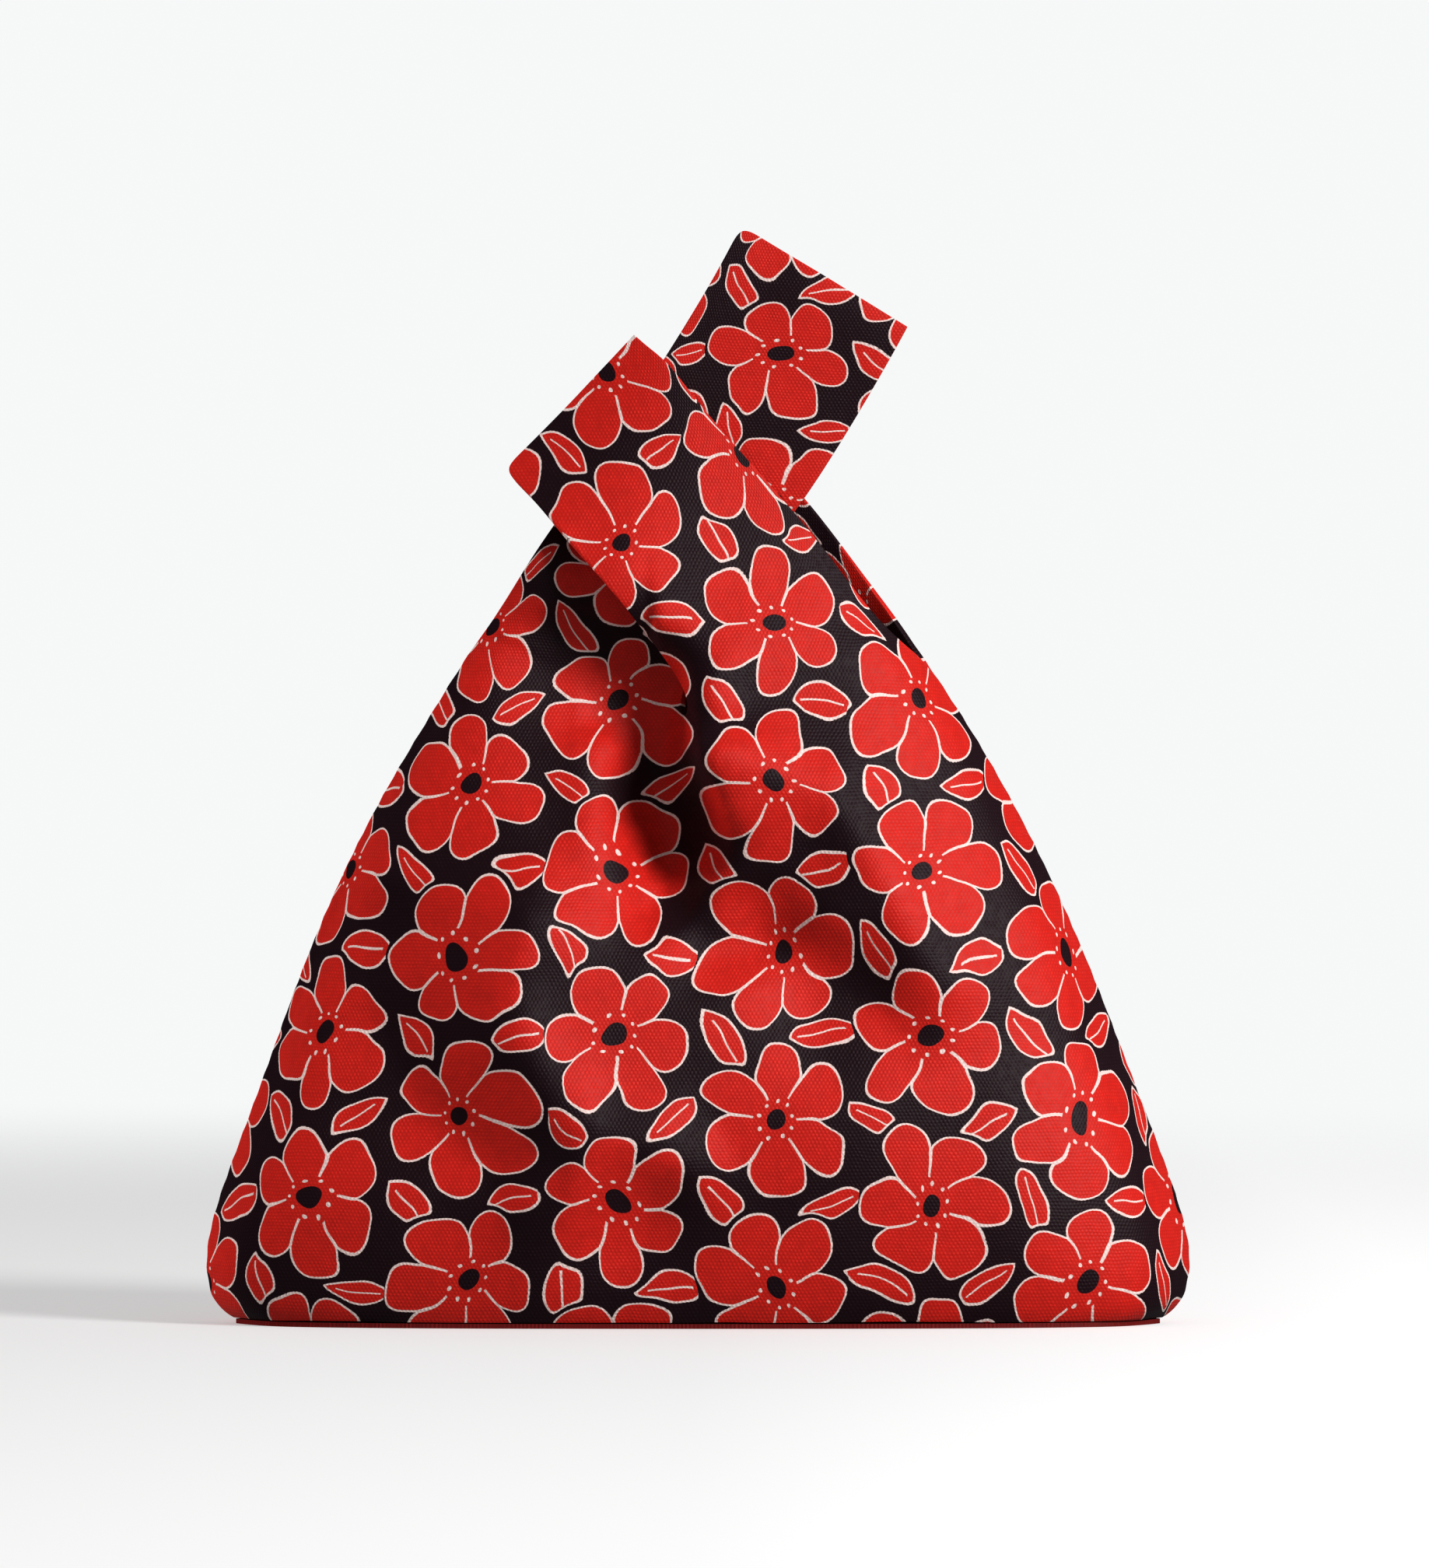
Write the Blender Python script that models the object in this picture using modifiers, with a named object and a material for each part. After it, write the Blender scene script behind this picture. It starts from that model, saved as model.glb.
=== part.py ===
"""Knot bag: a cloth bag that stands on a flat base, its long strap pulled through its short one.

Metres, +Z up. The front faces -Y, the width runs along X, and the origin is under the middle of the base.
The front and the back are each cut in one with their layer of both straps. They meet at the side seams and
at the strap ends, in the plane y = 0, and stand on the base.
"""

import bpy
import numpy as np

MM = 0.001

# Driving sizes, in millimetres
CLOTH = 2.0
GAP = 0.3
SEAM = GAP / 2
BASE_THICK = 1.5
BASE_STEPS = 3

# Columns of faces from one side seam to the other, before they are subdivided
COLUMNS = 16
NECK = COLUMNS // 2
SUBDIVISIONS = 1

# How a section rises from its middle to the seams: 1 would be straight
RISE_EXPONENT = 1.2

# The foot of the back's neck is pulled this far to the right of the front's, over this reach
BACK_PULL = 6.0
BACK_PULL_REACH = 24.0
BACK_PULL_CENTRE = (-4.0, 197.0)

# Sections of the body, from the base to the foot of the neck. Heights of the middle and of the side seams,
# where the middle and the two seams lie, how far the front and the back stand out, and the exponent of the
# superellipse that each side follows
BODY_COLUMNS = ("mid", "side", "mid_x", "left", "right", "front", "back", "square")
BODY = [
    (1.8, 1.8, 0.0, -148.6, 149.2, 38.0, 38.0, 2.8),
    (5.0, 5.0, 0.0, -154.2, 154.6, 40.0, 40.0, 2.8),
    (11.8, 11.8, 0.0, -157.3, 157.8, 43.0, 43.0, 2.7),
    (23.8, 23.8, 0.0, -158.2, 159.0, 46.0, 45.5, 2.6),
    (40.8, 40.8, 0.0, -153.8, 154.4, 48.0, 47.0, 2.5),
    (62.8, 63.8, 0.0, -145.0, 145.8, 48.5, 47.0, 2.4),
    (86.8, 89.8, 0.0, -135.6, 135.9, 46.5, 45.0, 2.3),
    (110.8, 116.8, -1.0, -126.0, 125.5, 43.0, 41.5, 2.2),
    (134.8, 144.8, -2.0, -114.0, 113.2, 39.0, 37.0, 2.1),
    (156.8, 170.3, -3.0, -101.0, 100.2, 34.0, 32.5, 2.0),
    (176.8, 192.8, -4.0, -87.4, 87.0, 29.5, 28.5, 2.0),
    (193.3, 212.8, -4.0, -75.1, 73.6, 26.0, 25.5, 2.0),
]

# Sections of a strap's layer, from the foot of the neck to the sewn end. Where its left and right edges run
# and how far out they stand, the arch between them, what is left of the body's rounding, and where the back's
# armhole edge runs instead of the front's
STRAP_COLUMNS = (
    "left_x", "left_z", "left_out", "right_x", "right_z", "right_out", "arch", "round", "back_x", "back_z",
)
LONG_STRAP = [
    (-75.1, 212.8, 0.15, -4.0, 193.3, 26.0, 0.0, 26.0, -75.1, 212.8),
    (-68.3, 222.8, 2.4, -6.2, 198.8, 16.0, 1.0, 15.0, -68.3, 222.8),
    (-61.4, 233.0, 3.2, -2.5, 208.8, 10.0, 1.0, 6.0, -61.4, 233.0),
    (-52.2, 247.0, 3.6, 8.0, 225.8, 6.4, 1.0, 2.0, -52.2, 247.0),
    (-39.6, 265.6, 3.6, 21.5, 247.8, 4.2, 0.6, 0.0, -39.6, 265.6),
    (-25.8, 286.3, 3.6, 35.0, 265.3, 3.6, 0.4, 0.0, -25.8, 286.3),
    (-9.8, 310.8, 3.6, 49.5, 288.3, 3.6, 0.4, 0.0, -9.8, 310.8),
    (3.4, 332.4, 3.4, 60.5, 307.3, 3.4, 0.4, 0.0, 3.4, 332.4),
    (10.8, 346.0, 2.8, 65.4, 316.1, 2.8, 0.2, 0.0, 10.8, 346.0),
    (14.2, 352.8, 2.15, 67.6, 320.2, 2.15, 0.0, 0.0, 14.2, 352.8),
]
SHORT_STRAP = [
    (-4.0, 193.3, 26.0, 73.6, 212.8, 0.15, 0.0, 26.0, 73.6, 212.8),
    (-2.4, 199.3, 25.5, 66.7, 217.9, 4.8, 1.0, 17.0, 70.2, 217.8),
    (-6.0, 206.8, 24.0, 58.6, 225.4, 7.4, 1.5, 8.0, 65.0, 225.4),
    (-13.0, 216.4, 21.5, 50.6, 235.8, 8.4, 1.5, 3.0, 57.6, 235.9),
    (-21.6, 228.4, 18.5, 40.6, 249.4, 8.6, 1.2, 0.0, 47.4, 249.8),
    (-32.0, 240.6, 15.4, 27.2, 264.8, 8.6, 0.8, 0.0, 33.4, 267.4),
    (-41.6, 252.0, 12.4, 12.6, 281.4, 8.6, 0.6, 0.0, 15.6, 284.8),
    (-49.0, 261.0, 9.6, 0.6, 295.2, 8.4, 0.6, 0.0, -0.6, 300.2),
    (-55.8, 268.0, 6.4, -9.2, 308.6, 6.6, 0.6, 0.0, -9.2, 308.8),
    (-60.2, 272.4, 3.8, -15.6, 313.4, 4.0, 0.4, 0.0, -15.6, 313.4),
    (-61.0, 275.6, 2.15, -20.2, 317.6, 2.15, 0.0, 0.0, -20.2, 317.6),
]

# Folds of each panel, as lines of points: where the fold runs, half its width and how far it stands out
FOLD_COLUMNS = ("x", "z", "reach", "out")
FRONT_FOLDS = {
    "furrow under the neck": [
        (-5.0, 206.0, 12.0, -2.0),
        (-7.0, 192.0, 13.0, -8.0),
        (-11.0, 172.0, 15.0, -16.0),
        (-10.0, 156.0, 15.0, -12.0),
        (-5.0, 140.0, 15.0, -5.0),
        (0.0, 124.0, 14.0, 0.0),
    ],
    "valley to the lower right": [
        (-8.0, 152.0, 13.0, 0.0),
        (14.0, 140.0, 15.0, -5.0),
        (38.0, 128.0, 16.0, -7.0),
        (66.0, 104.0, 18.0, -5.0),
        (86.0, 80.0, 18.0, 0.0),
    ],
    "ridge carried on from the short strap": [
        (-16.0, 242.0, 18.0, 0.0),
        (4.0, 210.0, 16.0, 3.0),
        (13.0, 180.0, 15.0, 6.5),
        (30.0, 158.0, 17.0, 6.0),
        (64.0, 136.0, 20.0, 5.0),
        (82.0, 108.0, 22.0, 2.5),
        (90.0, 80.0, 22.0, 0.0),
    ],
    "hooked ridge on the left": [
        (-24.0, 196.0, 14.0, 0.0),
        (-29.0, 172.0, 15.0, 4.0),
        (-38.0, 140.0, 17.0, 5.0),
        (-50.0, 112.0, 16.0, 6.5),
        (-48.0, 90.0, 15.0, 7.0),
        (-30.0, 72.0, 15.0, 5.0),
        (-9.0, 66.0, 16.0, 2.0),
        (10.0, 68.0, 16.0, 0.0),
    ],
    "valley on the left": [
        (-98.0, 140.0, 18.0, 0.0),
        (-89.0, 119.0, 18.0, -5.0),
        (-75.0, 92.0, 17.0, -9.0),
        (-58.0, 67.0, 17.0, -8.5),
        (-36.0, 50.0, 16.0, -5.0),
        (-14.0, 42.0, 16.0, 0.0),
    ],
}
BACK_FOLDS = {
    "furrow under the neck": [
        (-4.0, 202.0, 10.0, -2.0),
        (-3.0, 186.0, 13.0, -6.0),
        (2.0, 162.0, 17.0, -7.0),
        (6.0, 132.0, 18.0, 0.0),
    ],
    "ridge carried on from the short strap": [
        (-14.0, 240.0, 20.0, 0.0),
        (14.0, 204.0, 20.0, 3.0),
        (42.0, 170.0, 22.0, 4.0),
        (58.0, 120.0, 24.0, 0.0),
    ],
    "valley across the belly": [
        (-78.0, 128.0, 20.0, 0.0),
        (-52.0, 98.0, 20.0, -4.5),
        (-12.0, 74.0, 22.0, -4.0),
        (30.0, 62.0, 22.0, 0.0),
    ],
}

# Colour as sRGB, then roughness
MATERIALS = {
    "front_panel": ((0.82, 0.19, 0.15), 0.85),
    "back_panel": ((0.76, 0.17, 0.13), 0.85),
    "base_panel": ((0.66, 0.10, 0.08), 0.85),
}


def clear_scene():
    for obj in list(bpy.data.objects):
        bpy.data.objects.remove(obj, do_unlink=True)


def new_collection(name):
    collection = bpy.data.collections.new(name)
    bpy.context.scene.collection.children.link(collection)
    return collection


def linear(channel):
    return channel / 12.92 if channel <= 0.04045 else ((channel + 0.055) / 1.055) ** 2.4


def cloth_material(name):
    colour, roughness = MATERIALS[name]
    material = bpy.data.materials.new(f"{name}_cloth")
    material.use_nodes = True
    shader = material.node_tree.nodes["Principled BSDF"]
    shader.inputs["Base Color"].default_value = [linear(c) for c in colour] + [1.0]
    shader.inputs["Roughness"].default_value = roughness
    shader.inputs["Metallic"].default_value = 0.0
    return material


def named_rows(columns, table):
    return [dict(zip(columns, row)) for row in table]


def body_shares():
    """Where the columns lie between the seams, from -1 to 1, closer together towards the seams."""
    even = np.linspace(-1.0, 1.0, COLUMNS + 1)
    return (even + np.sin(even * np.pi / 2)) / 2


def body_section(row, side):
    """Points of one section of the body, left seam to right seam, with y counted outwards to this side."""
    share = body_shares()
    seam = np.where(share < 0, row["left"], row["right"])
    x = row["mid_x"] + (seam - row["mid_x"]) * np.abs(share)
    z = row["mid"] + (row["side"] - row["mid"]) * np.abs(share) ** RISE_EXPONENT
    out = SEAM + (row[side] - SEAM) * (1 - np.abs(share) ** row["square"]) ** (1 / row["square"])
    return np.column_stack([x, out, z])


def strap_section(row, side, share, seam_on_left):
    """Points of one section of a strap's layer, left edge to right edge, with y counted outwards."""
    from_seam = share if seam_on_left else 1 - share
    quarter_round = np.sqrt(1 - (1 - from_seam) ** 2) - from_seam
    left = np.array([row["left_x"], row["left_out"], row["left_z"]])
    right = np.array([row["right_x"], row["right_out"], row["right_z"]])
    if side == "back":
        armhole_edge = left if seam_on_left else right
        armhole_edge[[0, 2]] = row["back_x"], row["back_z"]
    points = left + (right - left) * share[:, None]
    points[:, 1] += row["round"] * quarter_round + row["arch"] * 4 * share * (1 - share)
    return points


def strap_sections(table, side, first, seam_on_left):
    """The sections of a strap above first, which it shares with the body. Its columns even out upwards."""
    span = first[-1, 0] - first[0, 0]
    shared = (first[:, 0] - first[0, 0]) / span
    even = np.linspace(0.0, 1.0, len(first))
    rows = named_rows(STRAP_COLUMNS, table)
    sections = []
    for step, row in enumerate(rows[1:], start=1):
        evened = step / (len(rows) - 1)
        share = shared + (even - shared) * evened
        sections.append(strap_section(row, side, share, seam_on_left))
    return sections


def panel_cage(name, side):
    """The coarse open surface of a panel's outer face, with y still counted outwards."""
    body = [body_section(row, side) for row in named_rows(BODY_COLUMNS, BODY)]
    top = body[-1]
    long_strap = strap_sections(LONG_STRAP, side, top[: NECK + 1], True)
    short_strap = strap_sections(SHORT_STRAP, side, top[NECK:], False)

    points = []
    faces = []

    def add_row(section):
        points.extend(section)
        return list(range(len(points) - len(section), len(points)))

    def join_rows(lower, upper):
        for i in range(len(lower) - 1):
            faces.append((lower[i], lower[i + 1], upper[i + 1], upper[i]))

    below = add_row(body[0])
    corners = (below[0], below[-1])
    for section in body[1:]:
        above = add_row(section)
        join_rows(below, above)
        below = above
    for start, sections in ((below[: NECK + 1], long_strap), (below[NECK:], short_strap)):
        lower = start
        for section in sections:
            upper = add_row(section)
            join_rows(lower, upper)
            lower = upper

    points = np.array(points)
    if side == "front":
        points[:, 1] *= -1
    else:
        faces = [face[::-1] for face in faces]
    mesh = bpy.data.meshes.new(name)
    mesh.from_pydata((points * MM).tolist(), [], faces)
    crease = mesh.attributes.new("crease_vert", "FLOAT", "POINT")
    for corner in corners:
        crease.data[corner].value = 1.0
    return mesh


def fold_height(points, fold):
    """How far one fold moves each of the points, given as x and z in millimetres."""
    rows = named_rows(FOLD_COLUMNS, fold)
    least = np.full(len(points), np.inf)
    height = np.zeros(len(points))
    for low, high in zip(rows[:-1], rows[1:]):
        start = np.array([low["x"], low["z"]])
        along = np.array([high["x"], high["z"]]) - start
        share = np.clip((points - start) @ along / (along @ along), 0.0, 1.0)
        away = np.linalg.norm(points - start - along * share[:, None], axis=1)
        reach = low["reach"] + (high["reach"] - low["reach"]) * share
        out = low["out"] + (high["out"] - low["out"]) * share
        height = np.where(away < least, out * np.exp(-((away / reach) ** 2)), height)
        least = np.minimum(away, least)
    return height


def evaluated_mesh(obj):
    graph = bpy.context.evaluated_depsgraph_get()
    return bpy.data.meshes.new_from_object(obj.evaluated_get(graph))


def smooth_panel(name, side, folds, collection):
    """A panel's outer face, subdivided and with its folds."""
    cage = bpy.data.objects.new(name, panel_cage(name, side))
    collection.objects.link(cage)
    subdivide = cage.modifiers.new("subdivide", "SUBSURF")
    subdivide.levels = subdivide.render_levels = SUBDIVISIONS
    mesh = evaluated_mesh(cage)
    bpy.data.objects.remove(cage, do_unlink=True)
    outward = -1 if side == "front" else 1
    points = np.empty(len(mesh.vertices) * 3)
    mesh.vertices.foreach_get("co", points)
    points = points.reshape(-1, 3)
    flat = points[:, [0, 2]] / MM
    points[:, 1] += outward * MM * sum(fold_height(flat, fold) for fold in folds.values())
    if side == "back":
        away = np.linalg.norm(flat - BACK_PULL_CENTRE, axis=1)
        points[:, 0] += BACK_PULL * MM * np.exp(-((away / BACK_PULL_REACH) ** 2))
    mesh.vertices.foreach_set("co", points.ravel())
    return mesh


def add_panel(name, side, folds, collection):
    """A panel as a closed sheet, kept on its own side of the plane in which the panels meet."""
    sheet = bpy.data.objects.new(f"{name}_sheet", smooth_panel(name, side, folds, collection))
    collection.objects.link(sheet)
    thicken = sheet.modifiers.new("cloth", "SOLIDIFY")
    thicken.thickness = CLOTH * MM
    thicken.offset = -1
    thicken.use_even_offset = True
    bpy.context.view_layer.update()
    mesh = evaluated_mesh(sheet)
    bpy.data.objects.remove(sheet, do_unlink=True)

    outward = -1 if side == "front" else 1
    lowest = (BASE_THICK + GAP) * MM
    for vertex in mesh.vertices:
        vertex.co.y = outward * max(outward * vertex.co.y, SEAM * MM)
        vertex.co.z = max(vertex.co.z, lowest)
    mesh.shade_smooth()
    mesh.name = name
    mesh.materials.append(cloth_material(name))
    panel = bpy.data.objects.new(name, mesh)
    collection.objects.link(panel)
    return panel


def add_base(collection):
    """The flat bottom. Its outline is a cubic spline with the panels' lowest sections as control points."""
    foot = named_rows(BODY_COLUMNS, BODY)[0]
    front = body_section(foot, "front")[:, :2] * (1, -1)
    back = body_section(foot, "back")[:, :2]
    outline = np.concatenate([front, back[::-1]])
    curve = bpy.data.curves.new("base_panel", "CURVE")
    curve.dimensions = "2D"
    curve.fill_mode = "BOTH"
    curve.extrude = BASE_THICK / 2 * MM
    curve.resolution_u = BASE_STEPS
    spline = curve.splines.new("NURBS")
    spline.points.add(len(outline) - 1)
    for point, (x, y) in zip(spline.points, outline):
        point.co = (x * MM, y * MM, 0.0, 1.0)
    spline.order_u = 4
    spline.use_cyclic_u = True
    base = bpy.data.objects.new("base_panel", curve)
    base.location.z = BASE_THICK / 2 * MM
    curve.materials.append(cloth_material("base_panel"))
    collection.objects.link(base)
    return base


def main():
    clear_scene()
    bag = new_collection("knot_bag")
    add_base(bag)
    add_panel("front_panel", "front", FRONT_FOLDS, bag)
    add_panel("back_panel", "back", BACK_FOLDS, bag)


main()
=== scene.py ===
# %% [markdown]
# # A knot bag in printed canvas
# A knot bag is a small cloth bag with a long and a short strap. The long strap is pulled through the short one,
# and that closes the bag and makes a loop for the wrist. This one stands by itself on a flat oval base. Its
# front and back are each cut in one with their layer of both straps, from heavy cotton canvas with a printed
# pattern.
#
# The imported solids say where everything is. This file makes the cloth around them: finer sheets with deeper
# folds and soft edges, the print, the weave, and a small white studio.

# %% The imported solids
import math

import bpy
import numpy as np
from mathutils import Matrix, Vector, noise


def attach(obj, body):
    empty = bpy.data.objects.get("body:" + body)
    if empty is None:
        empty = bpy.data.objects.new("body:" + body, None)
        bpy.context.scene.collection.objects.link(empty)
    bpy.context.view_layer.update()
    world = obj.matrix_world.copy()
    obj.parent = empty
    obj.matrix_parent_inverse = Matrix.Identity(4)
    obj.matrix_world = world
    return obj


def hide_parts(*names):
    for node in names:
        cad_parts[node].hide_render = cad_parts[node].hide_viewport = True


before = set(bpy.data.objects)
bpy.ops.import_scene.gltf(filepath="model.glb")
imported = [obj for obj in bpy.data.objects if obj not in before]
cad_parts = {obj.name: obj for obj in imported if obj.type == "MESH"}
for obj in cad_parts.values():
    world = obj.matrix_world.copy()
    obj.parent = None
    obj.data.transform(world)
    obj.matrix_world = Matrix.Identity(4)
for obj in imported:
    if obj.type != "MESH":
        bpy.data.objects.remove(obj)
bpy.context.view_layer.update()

# %% [markdown]
# ## Units and colours
# Sizes here are in millimetres, because cloth is measured in them, and are turned to metres where a mesh is
# made. Colours are picked as sRGB hex values, the way a screen shows them. Shaders need linear light, so one
# function turns them.

# %% Units, colours and one function for all nodes
MM = 0.001
MATH = "ShaderNodeMath"
VECTOR = "ShaderNodeVectorMath"


def linear(hex_colour):
    """A hex colour as linear red, green, blue and alpha."""
    channels = [int(hex_colour[i:i + 2], 16) / 255 for i in (1, 3, 5)]
    return [c / 12.92 if c <= 0.04045 else ((c + 0.055) / 1.055) ** 2.4 for c in channels] + [1.0]


def add(tree, kind, inputs=(), **settings):
    """Adds a node. inputs is a list in the order of its sockets, or a dict by their names."""
    node = tree.nodes.new(kind)
    for name, value in settings.items():
        setattr(node, name, value)
    for key, value in inputs.items() if isinstance(inputs, dict) else enumerate(inputs):
        if isinstance(value, bpy.types.Node):
            value = value.outputs[0]
        if isinstance(value, bpy.types.NodeSocket):
            tree.links.new(value, node.inputs[key])
        elif value is not None:
            node.inputs[key].default_value = value
    return node


print("near black is", [round(part, 3) for part in linear("#2A0D18")[:3]], "in linear light")

# %% [markdown]
# ## The camera
# A long lens far away, level with the middle of the bag, as product photographers set it: the bag's sides stay
# straight and its foot looks flat.

# %% Camera
CAMERA_DISTANCE = 3600.0
CAMERA_X = 5.6
CAMERA_Z = 173.3
VIEW_HEIGHT = 504.0
SENSOR = 36.0

camera_data = bpy.data.cameras.new("camera")
camera_data.sensor_fit = "VERTICAL"
camera_data.sensor_width = camera_data.sensor_height = SENSOR
camera_data.lens = SENSOR * CAMERA_DISTANCE / VIEW_HEIGHT
camera = bpy.data.objects.new("camera", camera_data)
camera.location = (CAMERA_X * MM, -CAMERA_DISTANCE * MM, CAMERA_Z * MM)
camera.rotation_euler = (math.pi / 2, 0, 0)
bpy.context.scene.collection.objects.link(camera)
bpy.context.scene.camera = camera
print("lens", round(camera_data.lens, 1), "mm")

# %% [markdown]
# ## The print
# The cloth is printed in three colours: red shapes with a cream outline on near black. An image would do, but a
# pattern made of formulas stays sharp at any distance and needs no file. So each shape is a distance formula:
# it says how many millimetres a point is outside a petal or a leaf, and is negative inside. The outline is then
# simply where the distance is near zero.
#
# Blossoms sit in a half-drop grid, the layout of most printed cloth: each column is shifted by half a row. The
# number of the grid cell picks each blossom's turn and size, and a slow wobble makes the lines look hand drawn.
# A blossom and its outline stay inside their cell, or the cell's border would cut them off.

# %% Sizes of the print, in millimetres
INKS = {"red": "#DC281B", "black": "#2A0D18", "cream": "#F9E3DD"}
CELL = (50.0, 53.0)
PRINT_SHIFT = (1000.0, 1020.0, 0.0)
WOBBLES = ((24.0, 8.0), (9.0, 1.8))
PETALS = 6
PETAL_LENGTH = (23.6, 24.5)
NOTCH_DEPTH = (0.33, 0.43)
NOTCH_POWER = 3.0
MIDDLE = 3.4
DOTS = 9
DOT_RING = 6.0
DOT_RADIUS = 0.68
LINE_START = 7.4
LINE_HALF_WIDTH = 0.25
LINE_WIDENING = 0.02
OUTLINE_HALF_WIDTH = 0.4
LEAF = (21.0, 9.6)
LEAF_CLEARANCE = 2.3
LEAF_ROUNDING = 2.4
LEAF_TURNS = ((1 / 3, 0.5), (-1 / 3, 2.4))
RIB_HALF_WIDTH = 0.34
INK_EDGE = 0.08
INK_BLEED = 0.16
LEAF_TURN_RANGE = 1.0
RIB_SHARE = 2 / 3
STEEP_FROM = 9.0
print("one blossom on every", round(CELL[0] * CELL[1] / 100, 1), "square centimetres of cloth")


# %% The grid and its chances
CHANCE_STEP = (17.0, 5.0)


def grid_cell(tree, point, shift):
    """Half-drop cells: the place inside the cell, counted from its middle, and the cell's number."""
    moved = add(tree, VECTOR, [point, (*shift, 0)], operation="ADD")
    x, y = add(tree, "ShaderNodeSeparateXYZ", [moved]).outputs[:2]
    column = add(tree, MATH, [add(tree, MATH, [x, CELL[0]], operation="DIVIDE")], operation="FLOOR")
    dropped = add(tree, MATH, [column, CELL[1] / 2, y], operation="MULTIPLY_ADD")
    row = add(tree, MATH, [add(tree, MATH, [dropped, CELL[1]], operation="DIVIDE")], operation="FLOOR")
    across = add(tree, MATH, [column, -CELL[0], x], operation="MULTIPLY_ADD")
    up = add(tree, MATH, [row, -CELL[1], dropped], operation="MULTIPLY_ADD")
    corner = add(tree, "ShaderNodeCombineXYZ", [across, up])
    place = add(tree, VECTOR, [corner, (CELL[0] / 2, CELL[1] / 2, 0)], operation="SUBTRACT")
    return place, add(tree, "ShaderNodeCombineXYZ", [column, row])


def chance(tree, number, draw, low, high):
    """A value from low to high that is the same all over a cell. draw tells one chance from another."""
    step_x, step_y = CHANCE_STEP
    own = add(tree, VECTOR, [number, (step_x * draw, step_y * draw, 0)], operation="ADD")
    random = add(tree, "ShaderNodeTexWhiteNoise", {"Vector": own}, noise_dimensions="2D")
    return add(tree, "ShaderNodeMapRange", [random, 0.0, 1.0, low, high])


print("a column of the print is", CELL[0], "mm wide and dropped by", CELL[1] / 2, "mm from the one before")

# %% [markdown]
# A blossom is easiest in polar coordinates. The angle is folded like a paper fan, so that one formula for half
# a petal draws them all. Near the notch between two petals the edge runs almost straight to the middle, and
# there the plain difference of radii is far more than the true distance. Dividing by the length of the slope
# mends that, and keeps the outline equally wide everywhere.

# %% A blossom
def blossom(tree, point):
    """How far a point is outside a blossom, and how far outside its cream lines and dots, and its radius."""
    place, number = grid_cell(tree, point, (0.0, 0.0))
    x, y = add(tree, "ShaderNodeSeparateXYZ", [place]).outputs[:2]
    radius = add(tree, VECTOR, [place], operation="LENGTH").outputs["Value"]
    half = math.pi / PETALS
    angle = add(tree, MATH, [y, x], operation="ARCTAN2")
    turned = add(tree, MATH, [angle, chance(tree, number, 1, 0.0, 2 * half)], operation="ADD")
    folded = add(tree, MATH, [turned, half], operation="PINGPONG")
    share = add(tree, MATH, [folded, half], operation="DIVIDE")

    length = chance(tree, number, 2, *PETAL_LENGTH)
    notch = add(tree, MATH, [chance(tree, number, 3, *NOTCH_DEPTH), length], operation="MULTIPLY")
    dip = add(tree, MATH, [share, NOTCH_POWER], operation="POWER")
    drop = add(tree, MATH, [dip, notch], operation="MULTIPLY")
    edge = add(tree, MATH, [length, drop], operation="SUBTRACT")
    steep = add(tree, MATH, [share, NOTCH_POWER - 1], operation="POWER")
    deep = add(tree, MATH, [notch, NOTCH_POWER / half], operation="MULTIPLY")
    fall = add(tree, MATH, [steep, deep], operation="MULTIPLY")
    reach = add(tree, MATH, [radius, STEEP_FROM], operation="MAXIMUM")
    slope = add(tree, MATH, [fall, reach], operation="DIVIDE")
    stretch = add(tree, MATH, [add(tree, MATH, [slope, slope, 1.0], operation="MULTIPLY_ADD")], operation="SQRT")
    beyond = add(tree, MATH, [radius, edge], operation="SUBTRACT")
    outside = add(tree, MATH, [beyond, stretch], operation="DIVIDE")

    to_notch = add(tree, MATH, [half, folded], operation="SUBTRACT")
    aside = add(tree, MATH, [add(tree, MATH, [to_notch], operation="SINE"), radius], operation="MULTIPLY")
    width = add(tree, MATH, [radius, LINE_WIDENING, LINE_HALF_WIDTH], operation="MULTIPLY_ADD")
    line = add(tree, MATH, [aside, width], operation="SUBTRACT")
    too_near = add(tree, MATH, [LINE_START, radius], operation="SUBTRACT")
    line = add(tree, MATH, [line, too_near], operation="MAXIMUM")
    line = add(tree, MATH, [line, outside], operation="MAXIMUM")

    dot_angle = add(tree, MATH, [turned, math.pi / DOTS], operation="PINGPONG")
    dot_aside = add(tree, MATH, [dot_angle, radius], operation="MULTIPLY")
    dot_along = add(tree, MATH, [radius, DOT_RING], operation="SUBTRACT")
    dot_place = add(tree, "ShaderNodeCombineXYZ", [dot_aside, dot_along])
    dot_away = add(tree, VECTOR, [dot_place], operation="LENGTH").outputs["Value"]
    dot = add(tree, MATH, [dot_away, DOT_RADIUS], operation="SUBTRACT")
    return outside, add(tree, MATH, [line, dot], operation="MINIMUM"), radius


print("a blossom has", PETALS, "petals of", PETAL_LENGTH, "mm and a ring of", DOTS, "dots")

# %% [markdown]
# A leaf is the lens between two equal circles. Mirrored onto one side of its rib, it needs only one of them.
# The leaf stops short of the blossoms, as if they were laid over it with a dark gap around them.

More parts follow.
